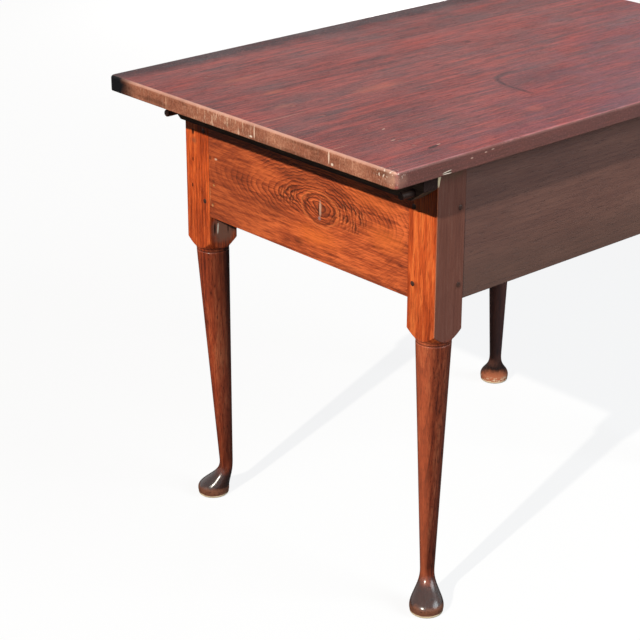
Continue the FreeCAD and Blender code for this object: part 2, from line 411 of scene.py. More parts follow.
def makeApron(name, alongX, sign):  # alongX tells a long apron from an end apron
    a = tableAprons
    top = tableFrame["top"]
    stop = tableFrame["stile"] + a["jointGap"]
    axis = 0 if alongX else 1
    turned = lambda along, across: (along, across) if alongX else (across, along)
    point = lambda way, along, across, level: cornerPoint(turned(way, sign), *turned(along, across), level)
    first = point(-1, stop, a["setback"], a["bottom"])
    second = point(1, stop, a["setback"] + a["thickness"], top)
    apron = sawnBlock(name, first, second)
    tenonMiddle = (a["tenonFace"] + a["tenonThickness"] / 2, (a["tenonLow"] + a["tenonHigh"]) / 2)
    thin = a["tenonThickness"] / a["thickness"]
    short = (a["tenonHigh"] - a["tenonLow"]) / (top - a["bottom"])
    for way in (-1, 1):  # each end face is drawn in to the tenon's section, then pulled out to its length
        pickFaces(apron, lambda centre, normal: normal[axis] * way > 0.9)
        pull((0, 0, 0))
        centre = point(way, stop, *tenonMiddle)
        move = centre - (first + second) / 2
        move[axis] = 0
        bpy.ops.transform.translate(value=move)
        bpy.ops.transform.resize(value=(*turned(1, thin), short), center_override=centre)
        pull((*turned(way * (a["tenonReach"] + a["jointGap"]), 0), 0))
        leaveEdit()
    onLower = edgeAt(a["bottom"])
    easeEdges(apron, a["arris"], a["arrisSteps"],
              lambda p, q: onLower(p, q) and abs(p[axis] - q[axis]) > 2 * a["thickness"])
    for way in (-1, 1):
        for tool in pegTools(turned(way, sign)):
            shapeWith(apron, tool)
    return finished(apron)


# riven pegs through the tenons, four to a corner
tenonPegs = {
    "sides": 8, "radius": 0.004, "inset": 0.0105, "levels": (0.529, 0.643), "proud": 0.0006, "length": 0.037,
    "play": 0.00006, "boreMouth": 0.001, "boreSpare": 0.0001,
    "domeWidths": (0.0012, 0.0011), "domeDrop": 0.0005, "rimRadius": 0.0037, "shade": 20,
}


def pegRuns(corner, mouth=0.0, spare=0.0):  # start and end of each peg of a corner
    p = tenonPegs
    inset = tableFrame["stile"] - p["inset"]
    start, end = -p["proud"] - mouth, p["length"] + spare
    runs = []
    for level in p["levels"]:
        runs.append((cornerPoint(corner, start, inset, level), cornerPoint(corner, end, inset, level)))
        runs.append((cornerPoint(corner, inset, start, level), cornerPoint(corner, inset, end, level)))
    return runs


def pegTools(corner):
    p = tenonPegs
    return [roundRod("bore", p["sides"], p["radius"] + p["play"], start, end)
            for start, end in pegRuns(corner, p["boreMouth"], p["boreSpare"])]


def makePegs(name, corner):
    p = tenonPegs
    pegs = []
    for start, end in pegRuns(corner):
        peg = roundRod(name, p["sides"], p["radius"], start, end)
        run = (end - start).normalized()
        pickFaces(peg, lambda centre, normal: normal.dot(run) < -0.9)
        for width in p["domeWidths"]:
            bpy.ops.mesh.inset(thickness=width, depth=0.0)
        leaveEdit()
        onHead = edgeAcross(start, run)
        atRim = lambda point: (point - start).length > p["rimRadius"]
        pickEdges(peg, lambda a, b: onHead(a, b) and atRim(a) and atRim(b))
        bpy.ops.transform.translate(value=run * p["domeDrop"])  # the rim drops, so that the end is a low dome
        leaveEdit()
        pegs.append(peg)
    return finished(joined(pegs, name), p["shade"])


# battens, with slanted ends and a hole for each pin
topBattens = {
    "inner": 0.3655, "outer": 0.3925, "bottom": 0.663, "endRun": 0.024, "endRise": 0.018,
    "arris": 0.0012, "arrisSteps": 2, "boreStart": 0.36, "boreRun": 0.04,
}
topPins = {
    "sides": 20, "inset": 0.02, "level": 0.676, "radius": 0.0056, "inner": 0.3659, "outer": 0.4165,
    "head": 0.0017, "headSteps": 3, "lead": 0.00075, "boreSides": 40, "borePlay": 0.00018,
    "socketMouth": 0.001, "socketRun": 0.021, "shade": 24,
}


def pinBore(name, mouth, run):
    p = topPins
    return roundRod(name, p["boreSides"], p["radius"] + p["borePlay"], mouth, mouth + Vector((run, 0, 0)))


def makeBatten(end):
    b = topBattens
    sign = endNames[end]
    half, top = tableFrame["halfWidth"], tableFrame["top"]
    batten = sawnBlock("batten_" + end, (sign * b["inner"], -half, b["bottom"]),
                       (sign * b["outer"], half, top))
    for way in (-1, 1):  # the lower corner of each end is sawn off at a slant
        sawOff(batten, (0, way * half, b["bottom"] + b["endRise"]), (0, way * b["endRise"], -b["endRun"]))
    faceOut(batten)
    onTop = edgeAt(top)
    onOuter = lambda p, q: near(p.x, sign * b["outer"]) and near(q.x, sign * b["outer"])
    easeEdges(batten, b["arris"], b["arrisSteps"], lambda p, q: onOuter(p, q) and not onTop(p, q))
    for way in (-1, 1):
        mouth = Vector((sign * b["boreStart"], way * (half - topPins["inset"]), topPins["level"]))
        shapeWith(batten, pinBore("bore", mouth, sign * b["boreRun"]))
    cutNailHoles(batten, -half, half, top)
    return finished(batten)


def makePin(name, corner):
    p = topPins
    y = corner[1] * (tableFrame["halfWidth"] - p["inset"])
    start, end = (Vector((corner[0] * p[key], y, p["level"])) for key in ("inner", "outer"))
    pin = roundRod(name, p["sides"], p["radius"], start, end)
    run = (end - start).normalized()
    easeEdges(pin, p["head"], p["headSteps"], edgeAcross(end, run))
    easeEdges(pin, p["lead"], 1, edgeAcross(start, run))
    return finished(pin, p["shade"])


# every piece, with the node that it stands for
made = {}
for number in range(1, len(tableTop["seams"])):
    made["top_board_" + str(number)] = makeBoard(number)
print("boards planed")
leg = makeLeg()
for name, corner in corners.items():
    made["leg_" + name] = leg if name == "left_front" else mirroredLeg(leg, corner)
    made["tenon_pegs_" + name] = makePegs("pegs", corner)
    made["top_pin_" + name] = makePin("pin", corner)
breakStile(leg)
print("legs turned, pegs and pins made")
for end, sign in endNames.items():
    made["end_apron_" + end] = makeApron("apron", False, sign)
    made["batten_" + end] = makeBatten(end)
    made["batten_nails_" + end] = makeNailLine(end)
for side, sign in sideNames.items():
    made["long_apron_" + side] = makeApron("apron", True, sign)
print("aprons, battens and nails made")


# shader maths: one socket with arithmetic

class Flow:
    def __init__(self, tree, socket=None):
        self.tree = tree
        self.socket = socket

    def make(self, kind, settings, sockets, out=0):  # any node; settings go in first
        node = self.tree.nodes.new(kind)
        for name, value in settings.items():
            if name == "stops":
                ramp = node.color_ramp
                while len(ramp.elements) < len(value):
                    ramp.elements.new(0.5)
                for stop, (place, stain) in zip(ramp.elements, value):
                    stop.position = place
                    stop.color = stain
            else:
                setattr(node, name, value)
        for key, value in sockets.items():
            if isinstance(value, Flow):
                self.tree.links.new(value.socket, node.inputs[key])
            else:
                node.inputs[key].default_value = value
        if isinstance(out, tuple):
            return [Flow(self.tree, node.outputs[each]) for each in out]
        return Flow(self.tree, node.outputs[out])

    def maths(self, operation, first, second=0.0):
        return self.make("ShaderNodeMath", {"operation": operation}, {0: first, 1: second})

    def __add__(self, other):
        return self.maths("ADD", self, other)

    def __radd__(self, other):
        return self.maths("ADD", other, self)

    def __sub__(self, other):
        return self.maths("SUBTRACT", self, other)

    def __rsub__(self, other):
        return self.maths("SUBTRACT", other, self)

    def __mul__(self, other):
        return self.maths("MULTIPLY", self, other)

    def __rmul__(self, other):
        return self.maths("MULTIPLY", other, self)

    def __truediv__(self, other):
        return self.maths("DIVIDE", self, other)

    def __pow__(self, other):
        return self.maths("POWER", self, other)

    def __abs__(self):
        return self.maths("ABSOLUTE", self)

    def step(self, start, end):  # 0 at start, 1 at end, eased between
        return self.make("ShaderNodeMapRange", {"interpolation_type": "SMOOTHSTEP"},
                         {"Value": self, "From Min": start, "From Max": end, "To Min": 0.0, "To Max": 1.0})

    def noise(self, scale, detail, rough=0.5, out=0):
        return self.make("ShaderNodeTexNoise", {},
                         {"Vector": self, "Scale": scale, "Detail": detail, "Roughness": rough}, out)

    def speckle(self, stretch, detail=3.0, rough=0.55, shift=(0, 0, 0)):  # noise on stretched coordinates
        spread = self.make("ShaderNodeMapping", {}, {"Vector": self, "Scale": stretch, "Location": shift})
        return spread.noise(1.0, detail, rough)

    def moved(self, wander, reach):  # pushed about by a noise
        return self.make("ShaderNodeVectorMath", {"operation": "MULTIPLY_ADD"},
                         {0: wander, 1: reach, 2: self})

    def spot(self, at, size, turn=(0, 0, 0)):  # distance from a place, 1 at the spot's own size
        local = self.make("ShaderNodeMapping", {"vector_type": "TEXTURE"},
                          {"Vector": self, "Location": at, "Scale": size, "Rotation": turn})
        return self.make("ShaderNodeVectorMath", {"operation": "LENGTH"}, {0: local}, "Value")

    def ramp(self, *stops):
        return self.make("ShaderNodeValToRGB", {"stops": stops}, {"Fac": self})

    def tinted(self, share, stain, blend="MIX"):  # self is a colour
        return self.make("ShaderNodeMix", {"data_type": "RGBA", "blend_type": blend},
                         {0: share, 6: self, 7: stain}, 2)

    def parts(self):
        return self.make("ShaderNodeSeparateXYZ", {}, {0: self}, (0, 1, 2))

    def feed(self, socket):
        self.tree.links.new(self.socket, socket)


def tint(*screen):  # a colour as it is read off a screen, made linear
    shares = [value / 255 for value in screen]
    return tuple(c / 12.92 if c < 0.04045 else ((c + 0.055) / 1.055) ** 2.4 for c in shares) + (1.0,)


def newFinish(name):  # a material, its shader's inputs and the piece's own coordinates
    material = bpy.data.materials.new(name)
    material.use_nodes = True
    tree = material.node_tree
    place = Flow(tree).make("ShaderNodeTexCoord", {}, {}, "Object")
    return material, tree.nodes["Principled BSDF"].inputs, place


# walnut: growth rings about a pith line, fibre streaks, pores, broad patches and an uneven polish
walnutLook = {
    "grain": "x", "pith": (0.03, -0.09), "ringGap": 0.0045, "ringEdge": 3.0,
    "drift": 0.016, "rings": 0.3, "yearBands": 1.6, "streaks": 0.6, "streakSize": (2, 46, 46),
    "fibres": 0.8, "fineSize": (15, 190, 190), "fibreSize": (42, 560, 560),
    "patches": 0.8, "patchSize": (4, 16, 16), "pores": 0.55, "poreSize": (52, 1250, 1250),
    "driftSize": (1.3, 6, 6), "shownSize": (5, 24, 24), "polishSize": (6, 13, 13),
    "gloss": 0.42, "relief": 0.4, "reliefDepth": 0.0006, "shine": 0.2, "polish": 0.25, "polishRough": 0.24,
    "tones": ((0.12, tint(84, 36, 24)), (0.4, tint(140, 62, 32)),
              (0.6, tint(178, 82, 40)), (0.88, tint(212, 108, 52))),
}
grainTurn = {"x": (0, 0, 0), "y": (0, 0, -math.pi / 2), "z": (0, math.pi / 2, 0)}


def walnut(name, changes, dress=None):
    look = {**walnutLook, **changes}
    material, shader, place = newFinish(name)
    wood = place.make("ShaderNodeMapping", {}, {
        "Vector": place, "Location": look["shift"], "Rotation": grainTurn[look["grain"]]})
    if "figure" in look:
        ringDistance = look["figure"](place)
    else:
        slow = place.make("ShaderNodeMapping", {}, {"Vector": wood, "Scale": look["driftSize"]})
        bent = wood.moved(slow.noise(1.0, 3.0, out="Color"), (0, look["drift"], look["drift"]))
        across, depth = bent.parts()[1:]
        across = across - look["pith"][0]
        depth = depth - look["pith"][1]
        ringDistance = (across * across + depth * depth) ** 0.5
    phase = ringDistance / look["ringGap"]
    lateWood = phase.maths("FRACT", phase) ** look["ringEdge"]
    years = place.make("ShaderNodeTexNoise", {"noise_dimensions": "1D"},
                       {"W": phase * 0.37, "Scale": 1.0, "Detail": 1.0})
    shown = wood.speckle(look["shownSize"], 2.0, 0.5, (2, 6, 3)).step(0.38, 0.66)
    if "ringFade" in look:
        shown = shown * (0.2 + ringDistance.step(look["ringFade"][1], look["ringFade"][0]))
    streak = wood.speckle(look["streakSize"], 4.0, 0.6)
    fine = wood.speckle(look["fineSize"], 3.0, 0.6, (5, 2, 8))
    fibre = wood.speckle(look["fibreSize"], 2.0, 0.6, (3, 1, 2))
    patch = wood.speckle(look["patchSize"], 4.0, 0.6, (7, 4, 9))
    pore = wood.speckle(look["poreSize"], 1.0, 0.5).step(0.58, 0.7)
    ringTone = 0.26 - lateWood * (0.2 + shown) + (years - 0.5) * look["yearBands"]
    fibreTone = (fine - 0.5) * 0.9 + (fibre - 0.5) * 0.7
    tone = (0.5 + look["rings"] * ringTone + look["streaks"] * (streak - 0.5)
            + look["fibres"] * fibreTone + look["patches"] * (patch - 0.5))
    colour = tone.ramp(*look["tones"])
    colour = colour.tinted(pore * look["pores"], (0.25, 0.2, 0.2, 1.0), "MULTIPLY")
    rough = look["gloss"] + (patch - 0.5) * 0.3 + pore * 0.12 + (fine - 0.5) * 0.2
    polish = look["polish"] * wood.speckle(look["polishSize"], 3.0, 0.6, (1, 9, 5)).step(0.36, 0.66)
    height = fibre * 0.35 + fine * 0.35 - pore * 0.9 - lateWood * 0.2 + streak * 0.6
    if dress:
        colour, rough, height, polish = dress(place, colour, rough, height, polish)
    bump = place.make("ShaderNodeBump", {}, {
        "Strength": look["relief"], "Distance": look["reliefDepth"], "Height": height})
    colour.feed(shader["Base Color"])
    rough.feed(shader["Roughness"])
    polish.feed(shader["Coat Weight"])
    bump.feed(shader["Normal"])
    shader["Specular IOR Level"].default_value = look["shine"]
    shader["Coat Roughness"].default_value = look["polishRough"]
    return material


flat = (0, 0, 0)  # a mark that isn't turned


def marked(place, colour, marks):  # (place, half sizes, turn, tint, share, softness) of each mark
    ragged = (place.speckle((150, 150, 150)) - 0.5) * 0.9
    for at, size, turn, stain, share, soft in marks:
        reach = place.spot(at, size, turn) + ragged * soft
        colour = colour.tinted(reach.step(1.0, 1.0 - soft) * share, stain)
    return colour


# top boards: one quiet red-brown walnut, worn edges, filled cracks, dents and stains, with painted sky sheen,
# painted highlights on the arrises and painted shadow at the far edge
boardLook = {
    "rings": 0.1, "ringGap": 0.007, "streaks": 0.24, "streakSize": (3.2, 80, 80),
    "patches": 0.75, "patchSize": (8, 22, 22), "fibres": 1.35, "fineSize": (11, 340, 340),
    "fibreSize": (27, 820, 820), "pores": 0.6, "gloss": 0.46, "shine": 0.1, "polish": 0.1,
    # the tones' purplish cast is a painted reflection of the sky
    "tones": ((0.14, tint(62, 35, 40)), (0.38, tint(110, 57, 56)),
              (0.56, tint(136, 66, 63)), (0.84, tint(178, 86, 78))),
}
boardCuts = {
    1: {"shift": (0.3, 0.1, 0.0), "pith": (-0.12, 0.62)},
    2: {"shift": (0.304, 0.1, 0.0), "pith": (0.1, 0.54)},
    3: {"shift": (0.308, 0.1, 0.0), "pith": (0.27, 0.42)},
    4: {"shift": (0.6, 0.1, 0.0), "pith": (0.42, 0.45)},
}
fillerTint, splitTint, stainTint = tint(196, 142, 122), tint(214, 178, 160), tint(58, 34, 36)
topMarks = [
    ((x, y, tableTop["upper"]), (wide, deep, 0.004), (0, 0, turn), stain, share, soft)
    for x, y, wide, deep, turn, stain, share, soft in (
        (-0.435, -0.0296, 0.058, 0.0011, 0, fillerTint, 0.75, 0.5),
        (-0.464, -0.1836, 0.026, 0.0011, 0, fillerTint, 0.75, 0.5),
        (-0.365, -0.265, 0.015, 0.0042, 0.12, tint(40, 24, 24), 0.92, 0.5),
        (-0.352, -0.2615, 0.0045, 0.0016, 0, splitTint, 0.85, 0.5),
        (-0.36, -0.163, 0.0055, 0.0018, 0.35, splitTint, 0.85, 0.5),
        (-0.385, -0.208, 0.0045, 0.0018, 0, tint(206, 168, 150), 0.8, 0.5),
        (-0.379, -0.202, 0.009, 0.0026, 0.35, tint(62, 36, 34), 0.6, 0.6),
        (0.065, 0.088, 0.011, 0.0055, 0, stainTint, 0.75, 0.7),
        (-0.07, 0.022, 0.009, 0.005, 0, stainTint, 0.7, 0.7),
        (-0.13, -0.235, 0.024, 0.02, 0, tint(186, 96, 82), 0.4, 0.8),
        (-0.225, -0.008, 0.07, 0.022, 0, tint(190, 98, 74), 0.45, 0.9),
        (-0.355, 0.075, 0.03, 0.01, 0, tint(190, 104, 74), 0.4, 0.9),
        (-0.35, 0.16, 0.06, 0.012, 0, tint(186, 104, 80), 0.35, 0.9),
        (-0.39, 0.012, 0.03, 0.012, 0, tint(186, 100, 76), 0.35, 0.9),
        (0.01, -0.12, 0.12, 0.085, 0, tint(74, 48, 56), 0.42, 1.0),
        (-0.33, -0.17, 0.16, 0.05, 0, tint(84, 46, 46), 0.3, 1.0),
    )]
paleTint, chipTint, brightTint = tint(236, 206, 184), tint(240, 220, 200), tint(246, 226, 206)
endX, frontY = -tableTop["halfLength"], tableTop["seams"][0]
edgeMarks = [  # filled seams and chips on the left end, then splits on the front edge
    ((endX, -0.0285, 0.726), (0.004, 0.0016, 0.012), flat, paleTint, 0.85, 0.5),
    ((endX, -0.183, 0.727), (0.004, 0.0018, 0.012), flat, paleTint, 0.9, 0.5),
    ((endX, 0.172, 0.725), (0.004, 0.0012, 0.012), flat, tint(214, 170, 140), 0.7, 0.5),
    ((endX, -0.021, 0.718), (0.004, 0.004, 0.002), flat, chipTint, 0.9, 0.5),
    ((endX, -0.19, 0.7185), (0.004, 0.003, 0.0025), flat, chipTint, 0.9, 0.5),
    ((endX, -0.306, 0.727), (0.01, 0.022, 0.016), flat, tint(206, 166, 146), 0.4, 0.9),
    ((-0.47, frontY, 0.724), (0.016, 0.008, 0.014), flat, tint(180, 130, 112), 0.4, 0.9),
    ((-0.3387, frontY, 0.727), (0.0036, 0.003, 0.0011), flat, tint(206, 168, 150), 0.8, 0.6),
    ((-0.3118, frontY, 0.7296), (0.003, 0.003, 0.001), flat, tint(206, 168, 150), 0.8, 0.6),
    ((-0.2982, frontY, 0.731), (0.0038, 0.003, 0.0009), flat, tint(206, 168, 150), 0.8, 0.6),
    ((-0.3855, frontY, 0.7168), (0.0105, 0.003, 0.002), (0, -0.05, 0), tint(86, 76, 64), 0.9, 0.4),
    ((-0.3855, frontY, 0.7183), (0.0105, 0.003, 0.0006), (0, -0.112, 0), brightTint, 0.95, 0.4),
    ((-0.3855, frontY, 0.7154), (0.0105, 0.003, 0.0006), (0, 0.04, 0), brightTint, 0.95, 0.4),
]
# a worn curved line on the top, a quarter of a squarish ring
wornRing = {"x": -0.007, "y": -0.18, "halfX": 0.068, "halfY": 0.1, "squareness": 3.4, "wobble": 0.08}


def wornLine(x, y, rub):
    w = wornRing
    u = abs((x - w["x"]) / w["halfX"]) ** w["squareness"]
    v = abs((y - w["y"]) / w["halfY"]) ** w["squareness"]
    ring = (u + v) ** 0.294
    line = abs(ring + (rub - 0.5) * w["wobble"] - 1.0).step(0.075, 0.01)
    return line * x.step(0.004, -0.012) * y.step(-0.192, -0.165)


def topDress(place, colour, rough, height, polish):
    t = tableTop
    x, y, z = place.parts()
    fromEnd, fromSide = t["halfLength"] - abs(x), t["seams"][-1] - abs(y)  # how far in from the edges
    below = t["upper"] - z
    farSeam = t["seams"][-2]
    rub = place.speckle((26, 26, 26))
    # painted shadow: a dark band along the far long edge
    farEdgeShadow = (y + (rub - 0.5) * 0.04 + (x + 0.2).step(-0.3, 0.2) * 0.012).step(0.258, 0.296)
    colour = colour.tinted(farEdgeShadow * 0.9, tint(36, 21, 27))
    skySheen = (x * 0.5 - y + (rub - 0.5) * 0.5).step(-0.05, 0.5)  # painted reflection of the sky: a cooler cast towards the near right
    colour = colour.tinted(skySheen * 0.6, tint(110, 73, 90))
    seamGrime = abs(y - (farSeam + 0.0015) + (rub - 0.5) * 0.004).step(0.006, 0.0005)
    colour = colour.tinted(seamGrime * x.step(-0.3, 0.1) * 0.5, tint(60, 36, 40))
    farBoard = y.step(farSeam, farSeam + 0.0015) * x.step(-0.25, 0.15) * (1.0 - farEdgeShadow)
    colour = colour.tinted(farBoard * 0.28, tint(74, 46, 48))
    colour = marked(place, colour, topMarks)
    colour = colour.tinted(wornLine(x, y, rub) * 0.72, tint(46, 30, 36))
    fromEdge = x.maths("MINIMUM", fromEnd, fromSide)
    # a pale rim on the upper arris: worn varnish, and a painted highlight of the sky on the rounded edge
    rim = fromEdge.step(0.0038, 0.0014) * below.step(0.0055, 0.0025) * (rub - 0.1)
    colour = colour.tinted(rim * 0.7, tint(222, 164, 160))
    # painted shade: the long edge faces get a darker, greyer brown
    sideFace = fromSide.step(0.0018, 0.0004) * (1.0 - fromEnd.step(0.008, 0.002))
    colour = colour.tinted(sideFace * 0.8, tint(99, 69, 61))
    grit = place.speckle((420, 420, 420), 3.0, 0.65)
    colour = colour.tinted(grit.step(0.52, 0.7) * 0.3, tint(188, 112, 108))
    colour = colour.tinted(grit.step(0.48, 0.3) * 0.3, tint(74, 44, 46))
    endFace = fromEnd.step(0.0028, 0.0004)  # end grain, dry and scratched
    endTone = (grit * 0.55 + rub * 0.45).ramp(
        (0.3, tint(112, 68, 52)), (0.48, tint(160, 102, 78)), (0.66, tint(204, 146, 116)))
    colour = colour.tinted(endFace * 0.85, endTone)
    scratch = place.speckle((3, 420, 70), 3.0, 0.6).step(0.54, 0.66) * endFace
    scratched = 0.2 + y.step(-0.03, 0.01) * y.step(0.13, 0.06) * 0.6
    colour = colour.tinted(scratch * scratched, tint(222, 188, 162))
    age = place.speckle((5, 9, 60), 3.0, 0.6, (4, 0, 0)).step(0.45, 0.68) * endFace
    colour = colour.tinted(age * 0.65, tint(86, 52, 40))
    # a pale line on the end's upper arris: wear, and a painted highlight where it catches the sun
    rimLine = fromEnd.step(0.0043, 0.0034) * below.step(0.0038, 0.002) * (1.0 - endFace * 0.3)
    colour = colour.tinted(rimLine * (0.35 + rub * 0.7), tint(226, 176, 156))
    colour = marked(place, colour, edgeMarks)
    chips = place.speckle((240, 240, 240), 2.0, 0.5, (3, 3, 1)).step(0.6, 0.66)
    bruised = place.spot((-0.478, -0.3, 0.729), (0.022, 0.034, 0.012)).step(1.1, 0.4)  # the near corner
    colour = colour.tinted(chips * bruised * 0.9, tint(240, 222, 206))
    # painted shadow: the far corner of the left end, nearly black
    farCornerShadow = fromEnd.step(0.0055, 0.0025) * (y + (rub - 0.5) * 0.06).step(0.238, 0.282) * x.step(0, -0.4)
    colour = colour.tinted(farCornerShadow, tint(13, 13, 17))
    under = (z - t["under"]).step(0.0015, 0.0002)
    colour = colour.tinted(under * 0.85, tint(84, 58, 42))
    rough = rough + under * 0.3 + endFace * 0.2 + scratch * 0.1
    return colour, rough, height + grit * endFace * 0.5, polish * (1.0 - under) * (1.0 - endFace)


# legs: bright stile, browner shaft, dark glossy foot with a worn tread
legLook = {
    "grain": "z", "ringGap": 0.006, "rings": 0.22, "drift": 0.014, "fibres": 1.05, "streaks": 0.35,
    "streakSize": (7, 60, 60), "patches": 0.5, "pores": 0.7, "gloss": 0.34, "polish": 0.1, "polishRough": 0.2,
    "tones": ((0.14, tint(108, 44, 24)), (0.38, tint(174, 72, 34)),
              (0.58, tint(208, 90, 42)), (0.84, tint(240, 124, 62))),
}
sootTint, gapShadeTint = tint(34, 16, 12), tint(10, 8, 8)
outerX, outerY = -tableFrame["halfLength"], -tableFrame["halfWidth"]
innerY = tableFrame["halfWidth"] - tableFrame["stile"]
legMarks = [  # chips and stains on the outer faces, then painted light on the far left leg's inner face
    ((outerX, 0.2584, 0.5913), (0.004, 0.0018, 0.0042), flat, sootTint, 0.92, 0.5),
    ((outerX, 0.261, 0.5485), (0.004, 0.002, 0.0046), flat, sootTint, 0.92, 0.5),
    ((outerX, 0.2545, 0.623), (0.003, 0.008, 0.008), flat, tint(118, 76, 56), 0.6, 0.9),
    ((outerX, 0.2568, 0.637), (0.003, 0.0042, 0.0065), flat, tint(22, 11, 10), 0.95, 0.6),
    ((outerX, -0.2375, 0.529), (0.003, 0.008, 0.008), flat, tint(92, 38, 22), 0.45, 0.9),
    ((-0.3195, outerY, 0.529), (0.0085, 0.003, 0.0085), flat, tint(60, 34, 26), 0.6, 0.9),
    ((-0.3195, outerY, 0.643), (0.0085, 0.003, 0.0085), flat, tint(60, 34, 26), 0.6, 0.9),
    ((-0.335, outerY, 0.697), (0.03, 0.004, 0.014), flat, tint(106, 88, 66), 0.5, 1.0),
    # painted light on the inner face below the apron: a lighter face, shaded gaps, a painted highlight streak
    # and a darker end
    ((-0.335, innerY, 0.48), (0.034, 0.003, 0.034), flat, tint(148, 112, 98), 0.85, 0.6),
    ((-0.3545, innerY, 0.483), (0.0026, 0.003, 0.013), flat, gapShadeTint, 0.9, 0.6),
    ((-0.3484, innerY, 0.4825), (0.0022, 0.003, 0.0105), (0, 0.08, 0), tint(255, 248, 236), 0.95, 0.5),
    ((-0.328, innerY, 0.482), (0.0018, 0.003, 0.016), flat, gapShadeTint, 0.85, 0.6),
    ((-0.318, innerY, 0.486), (0.008, 0.003, 0.02), flat, tint(40, 30, 28), 0.8, 0.8),
]
footMarks = [((0.33, 0.24, 0.012), (0.036, 0.036, 0.024), flat, tint(190, 112, 80), 0.85, 0.6)]


def shaftSides(x, y, z):  # across a shaft, -1 and 1 at its edges, along the table and over its width
    g = legTurning
    middle = tableFrame["stile"] / 2
    taper = (g["neck"] - z) / (g["neck"] - g["ankle"])
    lean = taper * (g["ankleInset"] / math.sqrt(2))
    radius = g["neckRadius"] - taper * (g["neckRadius"] - g["ankleRadius"])
    return ((abs(x) - (tableFrame["halfLength"] - middle) + lean) / radius,
            (abs(y) - (tableFrame["halfWidth"] - middle) + lean) / radius)


def rawWood(x, y, z):  # where the splinter came away
    inward = Vector(stileBreak["inward"])
    onFace = Vector(stileBreak["onFace"])
    depth = (x - onFace.x) * inward.x + (y - onFace.y) * inward.y + (z - onFace.z) * inward.z
    inReach = x.step(-0.352, -0.354) * y.step(-0.268, -0.27) * z.step(0.681, 0.683)
    return abs(depth).step(0.0006, 0.0003) * inReach


def legDress(place, colour, rough, height, polish):
    x, y, z = place.parts()
    fromEnd, fromSide = tableFrame["halfLength"] - abs(x), tableFrame["halfWidth"] - abs(y)
    scuff = place.speckle((60, 60, 60))
    shaft = (legTurning["neck"] - z).step(-0.0075, 0.001)
    stile = 1.0 - shaft
    colour = colour.tinted(shaft, (0.6, 0.66, 1.05, 1.0), "MULTIPLY")
    # painted shade: the shaft darkens towards the floor
    colour = colour.tinted(z.step(0.34, 0.12), (0.78, 0.74, 0.8, 1.0), "MULTIPLY")
    colour = colour.tinted(z.step(0.2, 0.06), (0.66, 0.7, 0.7, 1.0), "MULTIPLY")
    dash = place.speckle((640, 640, 90), 2.0, 0.5).step(0.58, 0.68)
    colour = colour.tinted(dash * (0.25 + shaft * 0.35), tint(52, 24, 18))
    farLeg = x.step(0.1, 0.2) * y.step(0.1, 0.2)  # the far right leg; its shaft gets a painted grey shade, as it stands away from the sun
    colour = colour.tinted(farLeg * shaft * 0.6, tint(104, 80, 72))
    colour = colour.tinted(z.step(0.56, 0.47) * stile, (0.84, 0.84, 0.92, 1.0), "MULTIPLY")
    longFaceSheen = fromSide.step(0.0012, 0.0003) * stile  # painted sky sheen: the stile faces on the long sides are greyed and cooled
    colour = colour.tinted(longFaceSheen, (0.32, 0.66, 2.1, 1.0), "MULTIPLY")
    colour = colour.tinted(longFaceSheen * 0.75, tint(108, 68, 56))
    arris = fromEnd.step(0.0014, 0.0008) * fromSide.step(0.0014, 0.0008) * stile  # rubbed, and a painted highlight where the corner catches the sun
    colour = colour.tinted(arris * (0.1 + scuff * 0.5), tint(226, 130, 84))
    acrossX, acrossY = shaftSides(x, y, z)
    # painted shade: the shafts darken towards their front and back sides
    shadedSide = abs(acrossY).step(0.1, 0.95) * shaft * z.step(0.05, 0.07)
    colour = colour.tinted(shadedSide, (0.5, 0.6, 0.74, 1.0), "MULTIPLY")
    # painted highlight: a brighter sheen on the outer side of the front shafts
    sunSheen = acrossX.step(0.62, 1.0) * shaft * y.step(0.0, -0.1)
    colour = colour.tinted(sunSheen * 0.3, tint(214, 116, 80))
    # painted shade: the scribed line below the shoulder is darkened
    line = abs(z - legTurning["groove"]).step(0.0016, 0.0004)
    colour = colour.tinted(line * 0.55, tint(56, 28, 20))
    colour = marked(place, colour, legMarks)
    colour = colour.tinted(rawWood(x, y, z) * 0.95, tint(255, 228, 186))
    foot = (z + (scuff - 0.5) * 0.024).step(0.062, 0.034)
    colour = colour.tinted(foot * 0.92, tint(38, 29, 28))
    dent = place.speckle((230, 230, 230), 2.0).step(0.58, 0.68) * foot
    colour = colour.tinted(dent * 0.6, tint(28, 20, 20))
    side = (z + (scuff - 0.5) * 0.014).step(0.02, 0.014) * foot  # the upright side is scuffed back to brown
    colour = colour.tinted(side * 0.8, tint(126, 80, 60))
    chafe = place.speckle((300, 300, 420)).step(0.52, 0.66) * side
    colour = colour.tinted(chafe * 0.7, tint(48, 30, 26))
    colour = marked(place, colour, footMarks)
    flake = place.speckle((210, 210, 300), 3.0, 0.6, (2, 1, 0)).step(0.5, 0.6)
    colour = colour.tinted(flake * farLeg * z.step(0.017, 0.006) * 0.85, tint(236, 218, 186))
    worn = (z + (scuff - 0.5) * 0.0028).step(0.0052, 0.0042) * (scuff + 0.1).step(0.3, 0.46)
    colour = colour.tinted(worn * 0.9, tint(222, 204, 172))
    glossy = foot * (1.0 - side)
    rough = rough - glossy * 0.12 + worn * 0.35 + dent * 0.12 + side * 0.1
    polish = (polish + shaft * 0.22 + glossy * 0.3) * (1.0 - line)
    return colour, rough + line * 0.4, height - dent * 0.8, polish


